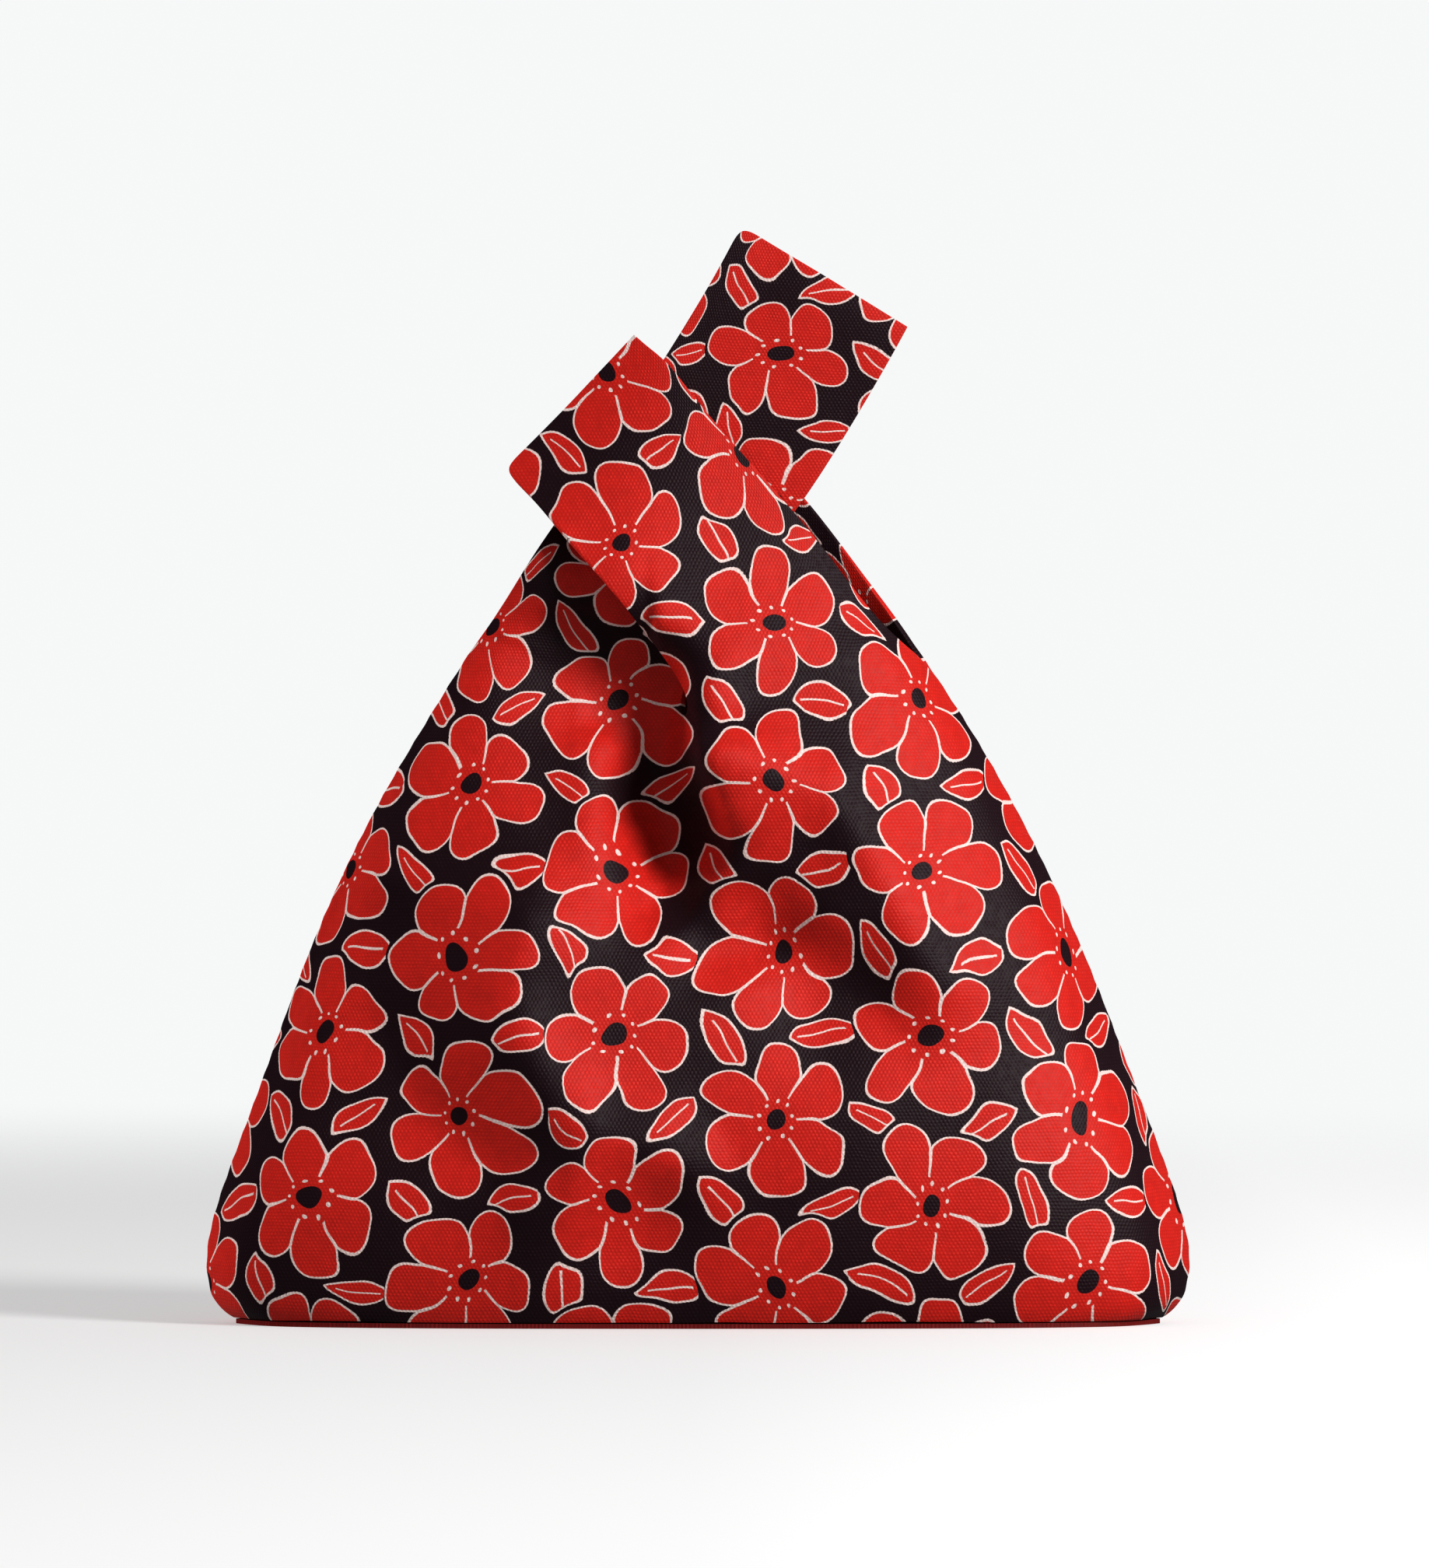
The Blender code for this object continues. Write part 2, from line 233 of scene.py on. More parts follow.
# %% A leaf
def leaf(tree, point, blossoms, shift, turn):
    """How far a point is outside a leaf that keeps clear of the blossoms, and how far outside its rib."""
    place, number = grid_cell(tree, point, (shift * CELL[0], CELL[1] / 2))
    length, width = LEAF[0] / 2, LEAF[1] / 2
    circle = (length ** 2 + width ** 2) / (2 * width)
    angle = chance(tree, number, 4, turn, turn + LEAF_TURN_RANGE)
    turned = add(tree, "ShaderNodeVectorRotate", {"Vector": place, "Angle": angle}, rotation_type="Z_AXIS")
    quarter = add(tree, VECTOR, [turned], operation="ABSOLUTE")
    x, y = add(tree, "ShaderNodeSeparateXYZ", [quarter]).outputs[:2]
    to_centre = add(tree, "ShaderNodeCombineXYZ", [x, add(tree, MATH, [y, circle - width], operation="ADD")])
    away = add(tree, VECTOR, [to_centre], operation="LENGTH").outputs["Value"]
    lens = add(tree, MATH, [away, circle], operation="SUBTRACT")
    room = add(tree, MATH, [LEAF_CLEARANCE, blossoms], operation="SUBTRACT")
    outside = add(tree, MATH, [lens, room, LEAF_ROUNDING], operation="SMOOTH_MAX")
    aside = add(tree, MATH, [y, RIB_HALF_WIDTH], operation="SUBTRACT")
    beyond = add(tree, MATH, [x, length * RIB_SHARE], operation="SUBTRACT")
    rib = add(tree, MATH, [aside, beyond], operation="MAXIMUM")
    return outside, add(tree, MATH, [rib, outside], operation="MAXIMUM")


print("a leaf is at most", LEAF[0], "by", LEAF[1], "mm, and there are", len(LEAF_TURNS), "to a blossom")

# %% [markdown]
# Printers lay one ink over the other, and so does this: black cloth first, then red wherever a blossom or leaf
# is, then its dark middle, and the cream lines last. Thin ink runs a little further in the grooves between the
# threads, which makes the edge of a line slightly ragged, as it is on real canvas.

# %% The inks, laid over each other
def inked(tree, distance, ink, under):
    """Lays an ink over the colour below it wherever the distance is negative."""
    cover = add(tree, "ShaderNodeMapRange", [distance, -INK_EDGE, INK_EDGE, 1.0, 0.0])
    over = {"Factor": cover, 6: under, 7: linear(INKS[ink])}
    return add(tree, "ShaderNodeMix", over, data_type="RGBA").outputs[2]


def flower_print(tree, cloth, threads):
    """The colour of the printed cloth. cloth is a place in millimetres, and threads roughens the ink's edges."""
    point = add(tree, VECTOR, [cloth, PRINT_SHIFT], operation="ADD")
    steady = point
    for size, amount in WOBBLES:
        wave = add(tree, "ShaderNodeTexNoise", {"Vector": steady, "Scale": 1 / size, "Detail": 0.0},
                   noise_dimensions="2D")
        offset = add(tree, VECTOR, [wave.outputs["Color"], (0.5, 0.5, 0.5)], operation="SUBTRACT")
        point = add(tree, VECTOR, [offset, (amount, amount, 0), point], operation="MULTIPLY_ADD")
    shapes, cream, radius = blossom(tree, point)
    petals = shapes
    for shift, turn in LEAF_TURNS:
        outside, rib = leaf(tree, point, petals, shift, turn)
        shapes = add(tree, MATH, [shapes, outside], operation="MINIMUM")
        cream = add(tree, MATH, [cream, rib], operation="MINIMUM")
    from_edge = add(tree, MATH, [shapes], operation="ABSOLUTE")
    border = add(tree, MATH, [from_edge, OUTLINE_HALF_WIDTH], operation="SUBTRACT")
    cream = add(tree, MATH, [cream, border], operation="MINIMUM")
    bleed = add(tree, MATH, [threads, INK_BLEED], operation="MULTIPLY")
    cream = add(tree, MATH, [cream, bleed], operation="ADD")
    middle = add(tree, MATH, [radius, MIDDLE], operation="SUBTRACT")
    colour = inked(tree, shapes, "red", linear(INKS["black"]))
    colour = inked(tree, middle, "black", colour)
    return inked(tree, cream, "cream", colour)


print("inks:", INKS)

# %% [markdown]
# ## The canvas
# Cotton canvas is woven from thick threads: where one passes over the other it shows as a small bump, and the
# bumps stand in staggered rows. Three sets of waves, turned by 60 degrees to each other, add up to exactly that
# layout. The grooves between the bumps are painted darker and the tops a little lighter, as painted shade and
# light.
# Hand and loom are never quite even, so slow noise bends the rows and makes some bumps higher than others.
#
# The threads' relief is a bump, because a mesh that fine would need millions of faces. Cotton scatters light
# widely, so its roughness is high and its shine weak, and loose fibres give it a faint sheen at grazing angles.
# A blotchy change of a few hundredths over some millimetres is what handling and washing leave in the ink.

# %% Sizes of the weave, in millimetres
ROW_PITCH = 1.11
ROW_DIRECTIONS = (30, 90, 150)
THREE_WAVES = (-1.5, 3.0)  # the least and the most that three such waves add up to
ROW_WANDER = (9.0, 0.9)
BUMP_CHANGE = (2.6, 0.45, 1.25)
COARSE_NOISE = (0.25, 0.75)  # where most of such a noise lies
FINE_NOISE = (0.3, 0.7)
THREAD_RELIEF = 0.13
COTTON_ROUGHNESS = 0.56
COTTON_IOR = 1.45
COTTON_SHINE = 0.36
FIBRE_SHEEN = (0.03, 0.5)
GROOVE_DEPTH = (0.0, 0.8)
# Painted shade and light of the weave: factors on the colour, from the grooves to the thread tops.
GROOVE_SHADE = (0.86, 1.08)
BLOTCHES = (4.0, 0.95, 1.05)
PLAIN_RED = "#7E1210"
print("threads every", ROW_PITCH, "mm stand", THREAD_RELIEF, "mm high")


def weave(tree, cloth):
    """The threads' height, from 0 in the grooves to about 1 on top."""
    size, amount = ROW_WANDER
    bend = add(tree, "ShaderNodeTexNoise", {"Vector": cloth, "Scale": 1 / size, "Detail": 1.0},
               noise_dimensions="2D")
    place = add(tree, VECTOR, [bend.outputs["Color"], (amount, amount, 0), cloth], operation="MULTIPLY_ADD")
    total = None
    for direction in ROW_DIRECTIONS:
        turn = math.radians(direction)
        wave = [2 * math.pi / ROW_PITCH * part for part in (math.cos(turn), math.sin(turn), 0)]
        phase = add(tree, VECTOR, [place, wave], operation="DOT_PRODUCT").outputs["Value"]
        total = add(tree, MATH, [add(tree, MATH, [phase], operation="COSINE"), total or 0.0], operation="ADD")
    bump = add(tree, "ShaderNodeMapRange", [total, *THREE_WAVES, 0.0, 1.0])
    size, low, high = BUMP_CHANGE
    change = add(tree, "ShaderNodeTexNoise", {"Vector": cloth, "Scale": 1 / size, "Detail": 1.0},
                 noise_dimensions="2D")
    share = add(tree, "ShaderNodeMapRange", [change, *COARSE_NOISE, low, high])
    return add(tree, MATH, [bump, share], operation="MULTIPLY")


def canvas(name, printed):
    """A cotton canvas, printed, or plain in one colour."""
    material = bpy.data.materials.new(name)
    material.use_nodes = True
    tree = material.node_tree
    shader = tree.nodes["Principled BSDF"]
    uv = add(tree, "ShaderNodeUVMap", uv_map="cloth")
    cloth = add(tree, VECTOR, [uv, (1 / MM, 1 / MM, 0)], operation="MULTIPLY")
    threads = weave(tree, cloth)
    if printed:
        colour = flower_print(tree, cloth, threads)
    else:
        colour = add(tree, "ShaderNodeRGB").outputs[0]
        colour.default_value = linear(PLAIN_RED)
    size, low, high = BLOTCHES
    blotches = add(tree, "ShaderNodeTexNoise", {"Vector": cloth, "Scale": 1 / size, "Detail": 3.0},
                   noise_dimensions="2D")
    # Painted shade: the colour is darker in the grooves between the threads and a little lighter on their tops.
    shade = add(tree, "ShaderNodeMapRange", [threads, *GROOVE_DEPTH, *GROOVE_SHADE])
    faded = add(tree, "ShaderNodeMapRange", [blotches, *FINE_NOISE, low, high])
    both = add(tree, MATH, [shade, faded], operation="MULTIPLY")
    shaded_colour = add(tree, VECTOR, {"Vector": colour, "Scale": both}, operation="SCALE")
    tree.links.new(shaded_colour.outputs[0], shader.inputs["Base Color"])
    shader.inputs["Roughness"].default_value = COTTON_ROUGHNESS
    shader.inputs["IOR"].default_value = COTTON_IOR
    shader.inputs["Specular IOR Level"].default_value = COTTON_SHINE
    shader.inputs["Sheen Weight"].default_value = FIBRE_SHEEN[0]
    shader.inputs["Sheen Roughness"].default_value = FIBRE_SHEEN[1]
    relief = add(tree, "ShaderNodeBump", {"Strength": 1.0, "Distance": THREAD_RELIEF * MM, "Height": threads})
    tree.links.new(relief.outputs[0], shader.inputs["Normal"])
    return material


# Woven cotton, printed with ink that sinks in: matt, so the colours hold up to the edge of every fold, with a
# fine grain of bumps where the light grazes it.
printed_canvas = canvas("printed_canvas", True)
# The same canvas in one plain dark red, darker than the print's red, with the weave's grain and no pattern.
plain_canvas = canvas("plain_red_canvas", False)
print("printed canvas:", len(printed_canvas.node_tree.nodes), "nodes")

# %% [markdown]
# ## The shape of the panels
# Each panel is lofted: a table gives the bag's sections from the foot to the neck, and two more tables give
# each strap's sections from there to its sewn end. They are the solids' own sections, apart from the short
# strap's left edge, which stands up to 6.5 mm further out here, so that the layer above the hollow throws its
# full shadow. A coarse cage through them is subdivided to a fine even grid, and the folds are then pressed into
# it.

# %% Sections, in millimetres
SEAM = 0.15  # half the gap between the panels
COLUMNS = 16
NECK = COLUMNS // 2
RISE_EXPONENT = 1.2

BODY_COLUMNS = ("mid", "side", "mid_x", "left", "right", "front", "back", "square")
BODY = [
    (1.8, 1.8, 0.0, -148.6, 149.2, 38.0, 38.0, 2.8),
    (5.0, 5.0, 0.0, -154.2, 154.6, 40.0, 40.0, 2.8),
    (11.8, 11.8, 0.0, -157.3, 157.8, 43.0, 43.0, 2.7),
    (23.8, 23.8, 0.0, -158.2, 159.0, 46.0, 45.5, 2.6),
    (40.8, 40.8, 0.0, -153.8, 154.4, 48.0, 47.0, 2.5),
    (62.8, 63.8, 0.0, -145.0, 145.8, 48.5, 47.0, 2.4),
    (86.8, 89.8, 0.0, -135.6, 135.9, 46.5, 45.0, 2.3),
    (110.8, 116.8, -1.0, -126.0, 125.5, 43.0, 41.5, 2.2),
    (134.8, 144.8, -2.0, -114.0, 113.2, 39.0, 37.0, 2.1),
    (156.8, 170.3, -3.0, -101.0, 100.2, 34.0, 32.5, 2.0),
    (176.8, 192.8, -4.0, -87.4, 87.0, 29.5, 28.5, 2.0),
    (193.3, 212.8, -4.0, -75.1, 73.6, 26.0, 25.5, 2.0),
]
STRAP_COLUMNS = (
    "left_x", "left_z", "left_out", "right_x", "right_z", "right_out", "arch", "round", "back_x", "back_z",
)
LONG_STRAP = [
    (-75.1, 212.8, 0.15, -4.0, 193.3, 26.0, 0.0, 26.0, -75.1, 212.8),
    (-68.3, 222.8, 2.4, -6.2, 198.8, 16.0, 1.0, 15.0, -68.3, 222.8),
    (-61.4, 233.0, 3.2, -2.5, 208.8, 10.0, 1.0, 6.0, -61.4, 233.0),
    (-52.2, 247.0, 3.6, 8.0, 225.8, 6.4, 1.0, 2.0, -52.2, 247.0),
    (-39.6, 265.6, 3.6, 21.5, 247.8, 4.2, 0.6, 0.0, -39.6, 265.6),
    (-25.8, 286.3, 3.6, 35.0, 265.3, 3.6, 0.4, 0.0, -25.8, 286.3),
    (-9.8, 310.8, 3.6, 49.5, 288.3, 3.6, 0.4, 0.0, -9.8, 310.8),
    (3.4, 332.4, 3.4, 60.5, 307.3, 3.4, 0.4, 0.0, 3.4, 332.4),
    (10.8, 346.0, 2.8, 65.4, 316.1, 2.8, 0.2, 0.0, 10.8, 346.0),
    (14.2, 352.8, 2.15, 67.6, 320.2, 2.15, 0.0, 0.0, 14.2, 352.8),
]
SHORT_STRAP = [
    (-4.0, 193.3, 26.0, 73.6, 212.8, 0.15, 0.0, 26.0, 73.6, 212.8),
    (-2.4, 199.3, 25.5, 66.7, 217.9, 4.8, 1.0, 17.0, 70.2, 217.8),
    (-6.0, 206.8, 28.0, 58.6, 225.4, 7.4, 1.5, 8.0, 65.0, 225.4),
    (-13.0, 216.4, 27.0, 50.6, 235.8, 8.4, 1.5, 3.0, 57.6, 235.9),
    (-21.6, 228.4, 25.0, 40.6, 249.4, 8.6, 1.2, 0.0, 47.4, 249.8),
    (-32.0, 240.6, 21.5, 27.2, 264.8, 8.6, 0.8, 0.0, 33.4, 267.4),
    (-41.6, 252.0, 17.0, 12.6, 281.4, 8.6, 0.6, 0.0, 15.6, 284.8),
    (-49.0, 261.0, 12.0, 0.6, 295.2, 8.4, 0.6, 0.0, -0.6, 300.2),
    (-55.8, 268.0, 6.4, -9.2, 308.6, 6.6, 0.6, 0.0, -9.2, 308.8),
    (-60.2, 272.4, 3.8, -15.6, 313.4, 4.0, 0.4, 0.0, -15.6, 313.4),
    (-61.0, 275.6, 2.15, -20.2, 317.6, 2.15, 0.0, 0.0, -20.2, 317.6),
]
print("sections:", len(BODY), "of the body,", len(LONG_STRAP), "and", len(SHORT_STRAP), "of the straps")

# %% [markdown]
# A fold is a line of points. Each says where the fold runs, how far it reaches to its left and to its right,
# how round its middle is, and how far out it stands. A valley has a negative height, and the deepest stop short
# of the cloth's other layer.

# %% Folds, in millimetres
FOLD_COLUMNS = ("x", "z", "left", "right", "round", "out")
FRONT_FOLDS = {
    "hollow beside the short strap": [
        (-52.0, 246.0, 14.0, 8.0, 9.0, 6.0),
        (-40.0, 232.0, 16.0, 9.0, 9.0, 0.0),
        (-40.0, 210.0, 24.0, 12.0, 8.0, -34.0),
        (-22.0, 202.0, 20.0, 9.0, 8.0, -44.0),
        (-16.0, 192.0, 14.0, 7.0, 6.0, -16.0),
        (-22.0, 182.0, 11.0, 6.5, 9.0, 0.0),
    ],
    "furrow under the neck": [
        (-14.0, 204.0, 13.0, 7.0, 5.0, -40.0),
        (-14.0, 192.0, 13.0, 7.0, 6.0, -70.0),
        (-13.5, 178.0, 12.0, 7.5, 6.0, -75.0),
        (-10.0, 165.5, 12.0, 9.0, 6.0, -80.0),
        (-8.0, 152.5, 12.0, 11.0, 6.0, -70.0),
        (-10.0, 139.0, 12.0, 12.0, 8.0, -26.0),
        (-2.0, 129.0, 14.0, 12.0, 9.0, -8.0),
        (6.0, 119.0, 13.0, 18.5, 9.0, -8.0),
        (10.0, 106.0, 13.0, 16.0, 9.0, 0.0),
    ],
    "edge carried on from the short strap": [
        (-9.5, 200.0, 6.0, 10.0, 1.5, 0.0),
        (-3.0, 195.5, 6.0, 14.0, 1.5, 8.0),
        (1.5, 181.5, 7.0, 23.5, 1.5, 14.0),
        (8.5, 164.5, 7.0, 26.5, 2.5, 12.0),
        (9.0, 149.5, 11.5, 24.0, 5.0, 6.0),
        (12.0, 136.5, 12.0, 20.0, 8.0, 0.0),
    ],
    "valley to the lower right": [
        (-3.5, 164.0, 13.0, 22.0, 9.0, 0.0),
        (10.0, 146.0, 15.5, 20.5, 9.0, -1.5),
        (23.5, 126.0, 17.0, 17.0, 9.0, -11.0),
        (45.5, 111.0, 18.5, 18.5, 9.0, -7.5),
        (63.5, 95.5, 18.0, 17.5, 9.0, -4.5),
        (71.0, 78.5, 18.0, 18.0, 9.0, 0.0),
    ],
    "ridge carried on from the short strap": [
        (-22.0, 241.0, 19.0, 18.0, 9.0, 4.0),
        (0.0, 209.5, 14.0, 17.5, 9.0, 5.0),
        (7.5, 185.0, 15.0, 16.5, 9.0, 6.0),
        (41.5, 172.0, 17.0, 18.0, 9.0, 9.0),
        (61.5, 141.0, 21.5, 20.0, 9.0, 10.0),
        (77.0, 109.0, 18.0, 22.0, 9.0, 6.5),
        (82.0, 84.0, 17.5, 22.0, 9.0, 0.0),
    ],
    "hooked ridge on the left": [
        (-34.0, 192.0, 16.0, 10.5, 9.0, -8.0),
        (-45.0, 174.0, 18.0, 12.0, 9.0, -9.0),
        (-46.0, 154.0, 20.0, 13.5, 9.0, -2.0),
        (-54.0, 131.0, 21.5, 20.0, 9.0, 9.5),
        (-61.0, 110.5, 22.0, 22.0, 9.0, 9.0),
        (-58.5, 92.0, 22.5, 22.0, 9.0, 11.5),
        (-47.0, 73.5, 21.5, 22.0, 9.0, 11.0),
        (-30.0, 63.0, 19.0, 18.0, 9.0, 7.0),
        (-5.5, 53.5, 14.0, 16.0, 9.0, 6.0),
        (8.5, 62.0, 16.0, 16.0, 9.0, 0.0),
    ],
    "valley on the left": [
        (-103.5, 144.5, 16.5, 27.5, 12.0, 0.0),
        (-106.5, 131.0, 16.0, 29.5, 12.0, -6.0),
        (-101.0, 96.0, 18.5, 28.0, 12.0, -12.0),
        (-86.0, 72.0, 18.0, 24.0, 12.0, -11.0),
        (-64.0, 52.0, 17.5, 20.0, 12.0, -8.0),
        (-38.5, 47.5, 16.0, 18.0, 12.0, 3.0),
        (-15.0, 38.0, 15.5, 16.0, 12.0, -3.0),
    ],
    "valley before the right shoulder": [
        (19.0, 179.0, 18.5, 16.5, 9.0, 2.0),
        (24.5, 149.5, 18.5, 18.0, 9.0, 0.0),
        (40.0, 130.5, 18.0, 18.5, 9.0, 5.0),
        (38.5, 102.0, 18.0, 18.0, 9.0, -4.5),
        (46.0, 70.5, 18.0, 18.0, 9.0, 0.0),
    ],
    "valley at the lower left": [
        (-109.0, 69.0, 20.5, 18.5, 9.0, -6.0),
        (-80.0, 51.0, 18.0, 17.5, 9.0, -1.5),
        (-54.5, 41.0, 17.0, 19.0, 9.0, 4.5),
        (-30.0, 25.0, 18.0, 18.5, 9.0, -3.0),
    ],
}
BACK_FOLDS = {
    "furrow under the neck": [
        (-4.0, 202.0, 10.0, 10.0, 9.0, -2.0),
        (-3.0, 186.0, 13.0, 13.0, 9.0, -6.0),
        (2.0, 162.0, 17.0, 17.0, 9.0, -7.0),
        (6.0, 132.0, 18.0, 18.0, 9.0, 0.0),
    ],
    "ridge carried on from the short strap": [
        (-14.0, 240.0, 20.0, 20.0, 9.0, 0.0),
        (14.0, 204.0, 20.0, 20.0, 9.0, 3.0),
        (42.0, 170.0, 22.0, 22.0, 9.0, 4.0),
        (58.0, 120.0, 24.0, 24.0, 9.0, 0.0),
    ],
    "valley across the belly": [
        (-78.0, 128.0, 20.0, 20.0, 9.0, 0.0),
        (-52.0, 98.0, 20.0, 20.0, 9.0, -4.5),
        (-12.0, 74.0, 22.0, 22.0, 9.0, -4.0),
        (30.0, 62.0, 22.0, 22.0, 9.0, 0.0),
    ],
}
print("folds:", len(FRONT_FOLDS), "in the front and", len(BACK_FOLDS), "in the back")


# %% One section of the body or of a strap
def named_rows(columns, table):
    return [dict(zip(columns, row)) for row in table]


def body_section(row, side):
    """Points of one section of the body, left seam to right seam, with y counted outwards to this side."""
    even = np.linspace(-1.0, 1.0, COLUMNS + 1)
    share = (even + np.sin(even * np.pi / 2)) / 2
    seam = np.where(share < 0, row["left"], row["right"])
    x = row["mid_x"] + (seam - row["mid_x"]) * np.abs(share)
    z = row["mid"] + (row["side"] - row["mid"]) * np.abs(share) ** RISE_EXPONENT
    out = SEAM + (row[side] - SEAM) * (1 - np.abs(share) ** row["square"]) ** (1 / row["square"])
    return np.column_stack([x, out, z])


def strap_section(row, side, share, seam_on_left):
    """Points of one section of a strap's layer, left edge to right edge, with y counted outwards."""
    from_seam = share if seam_on_left else 1 - share
    quarter_round = np.sqrt(1 - (1 - from_seam) ** 2) - from_seam
    left = np.array([row["left_x"], row["left_out"], row["left_z"]])
    right = np.array([row["right_x"], row["right_out"], row["right_z"]])
    if side == "back":
        armhole_edge = left if seam_on_left else right
        armhole_edge[[0, 2]] = row["back_x"], row["back_z"]
    points = left + (right - left) * share[:, None]
    points[:, 1] += row["round"] * quarter_round + row["arch"] * 4 * share * (1 - share)
    return points


def strap_sections(table, side, first, seam_on_left):
    """The sections of a strap above first, which it shares with the body. Its columns even out upwards."""
    span = first[-1, 0] - first[0, 0]
    shared = (first[:, 0] - first[0, 0]) / span
    even = np.linspace(0.0, 1.0, len(first))
    rows = named_rows(STRAP_COLUMNS, table)
    sections = []
    for step, row in enumerate(rows[1:], start=1):
        evened = step / (len(rows) - 1)
        sections.append(strap_section(row, side, shared + (even - shared) * evened, seam_on_left))
    return sections


widest = max(named_rows(BODY_COLUMNS, BODY), key=lambda row: row["right"] - row["left"])
print("widest at a height of", widest["side"], "mm:", round(widest["right"] - widest["left"], 1), "mm")

# %% [markdown]
# ## The cage and its cloth coordinates
# A print is flat on the roll, so it needs coordinates that lie on the cloth: along a section they count the way
# over the surface from its middle, and upwards the plain height. On the straps they go on from the neck. They
# are kept as a UV map in metres, which subdivides together with the mesh. The back is cut from another place of
# the roll, so its flowers don't mirror the front's at the side seams.

# %% The cage of one panel
BACK_SHIFT = (131.0, 23.0)
CLOTH_RISE = {"long": 1.2, "short": 1.0}


def way_from_middle(section):
    """The distance over the surface from the section's middle point, negative to the left."""
    steps = np.linalg.norm(np.diff(section, axis=0), axis=1)
    way = np.concatenate([[0.0], np.cumsum(steps)])
    return way - way[len(section) // 2] + section[len(section) // 2, 0]


def panel_cage(name, side):
    """The coarse open surface of a panel's outer face, with y still counted outwards, and its cloth map."""
    body = [body_section(row, side) for row in named_rows(BODY_COLUMNS, BODY)]
    top = body[-1]
    long_strap = strap_sections(LONG_STRAP, side, top[: NECK + 1], True)
    short_strap = strap_sections(SHORT_STRAP, side, top[NECK:], False)
    points, across, upwards, sewn, faces = [], [], [], [], []

    def add_row(section, way, rise, ends_sewn):
        points.extend(section)
        across.extend(way)
        upwards.extend(rise)
        sewn.extend([ends_sewn] + [0.0] * (len(section) - 2) + [ends_sewn])
        return list(range(len(points) - len(section), len(points)))

    def join_rows(lower, upper):
        for i in range(len(lower) - 1):
            faces.append((lower[i], lower[i + 1], upper[i + 1], upper[i]))

    below = None
    for section in body:
        above = add_row(section, way_from_middle(section), section[:, 2], 1.0)
        if below:
            join_rows(below, above)
        else:
            corners = [above[0], above[-1]]
        below = above
    neck_way = way_from_middle(top)
    for strap, part, sections in (
        ("long", slice(0, NECK + 1), long_strap),
        ("short", slice(NECK, None), short_strap),
    ):
        lower, first = below[part], top[part]
        for section in sections:
            way = neck_way[part] + section[:, 0] - first[:, 0]
            rise = first[:, 2] + (section[:, 2] - first[:, 2]) * CLOTH_RISE[strap]
            upper = add_row(section, way, rise, 0.0)
            join_rows(lower, upper)
            lower = upper
        corners.append(lower[-1])

    points = np.array(points)
    if side == "front":
        points[:, 1] *= -1
    else:
        faces = [face[::-1] for face in faces]
    mesh = bpy.data.meshes.new(name)
    mesh.from_pydata((points * MM).tolist(), [], faces)
    crease = mesh.attributes.new("crease_vert", "FLOAT", "POINT")
    for corner in corners:
        crease.data[corner].value = 1.0
    mesh.attributes.new("sewn", "FLOAT", "POINT").data.foreach_set("value", sewn)
    cloth_map = mesh.uv_layers.new(name="cloth")
    way, shift = (1, (0.0, 0.0)) if side == "front" else (-1, BACK_SHIFT)
    for loop in mesh.loops:
        vertex = loop.vertex_index
        place = (way * across[vertex] + shift[0], upwards[vertex] + shift[1])
        cloth_map.data[loop.index].uv = [value * MM for value in place]
    print(name, "cage:", len(faces), "faces")
    return mesh


# %% [markdown]
# ## Folds, unevenness and puckers
# The wide folds of the standing bag are lines that are pressed in or out with a soft bell-shaped section. Every
# piece of a line has its say, and the nearest by far the most, so the pieces flow into each other without a
# crease. Cloth is never quite even, so slow noise moves it by up to a millimetre, and next to a sewn seam the
# pull of the thread gathers it in short ripples. All of it is moved in code and not simulated, because these
# folds have to lie where the solids have them.

# %% How far folds and unevenness move a point
FOLD_SHARPNESS = 1.6
JOIN_BLEND = 2.0
JOIN_POWER = 3.0
SIDE_BLEND = 1.0
UNEVEN = ((45.0, 1.3), (17.0, 0.45))


def fold_height(points, fold):
    """How far one fold moves each of the points, given as x and z in millimetres. Its line runs downwards."""
    rows = named_rows(FOLD_COLUMNS, fold)
    weights = np.zeros(len(points))
    height = np.zeros(len(points))
    for low, high in zip(rows[:-1], rows[1:]):
        start = np.array([low["x"], low["z"]])
        along = np.array([high["x"], high["z"]]) - start
        from_start = points - start
        share = np.clip(from_start @ along / (along @ along), 0.0, 1.0)
        away = np.linalg.norm(from_start - along * share[:, None], axis=1)
        turn = (along[0] * from_start[:, 1] - along[1] * from_start[:, 0]) / np.linalg.norm(along)
        on_right = 0.5 + 0.5 * np.tanh(turn / SIDE_BLEND)
        left, right, middle, out = (low[name] + (high[name] - low[name]) * share for name in FOLD_COLUMNS[2:])
        rounded = np.sqrt(away ** 2 + middle ** 2) - middle
        profile = np.exp(-rounded / (left + (right - left) * on_right) * FOLD_SHARPNESS)
        weight = (away ** 2 + JOIN_BLEND ** 2) ** -JOIN_POWER
        height += weight * out * profile
        weights += weight
    return height / weights


def uneven_height(points):
    """Slow noise, in millimetres."""
    height = np.zeros(len(points))
    for size, amount in UNEVEN:
        height += amount * np.array([noise.noise(Vector(point) / size) for point in points])
    return height


middle = named_rows(FOLD_COLUMNS, FRONT_FOLDS["furrow under the neck"])[2]
pressed = fold_height(np.array([[middle["x"], middle["z"]]]), FRONT_FOLDS["furrow under the neck"])
print("the furrow is pressed in by", -pressed.round(1)[0], "mm before the room behind it limits that")


# %% Two helpers for objects
def evaluated_mesh(obj):
    """A plain mesh of what an object's modifiers or curve give."""
    return bpy.data.meshes.new_from_object(obj.evaluated_get(bpy.context.evaluated_depsgraph_get()))


def linked(name, data):
    """A new object in the scene, at the origin."""
    obj = bpy.data.objects.new(name, data)
    bpy.context.scene.collection.objects.link(obj)
    return obj


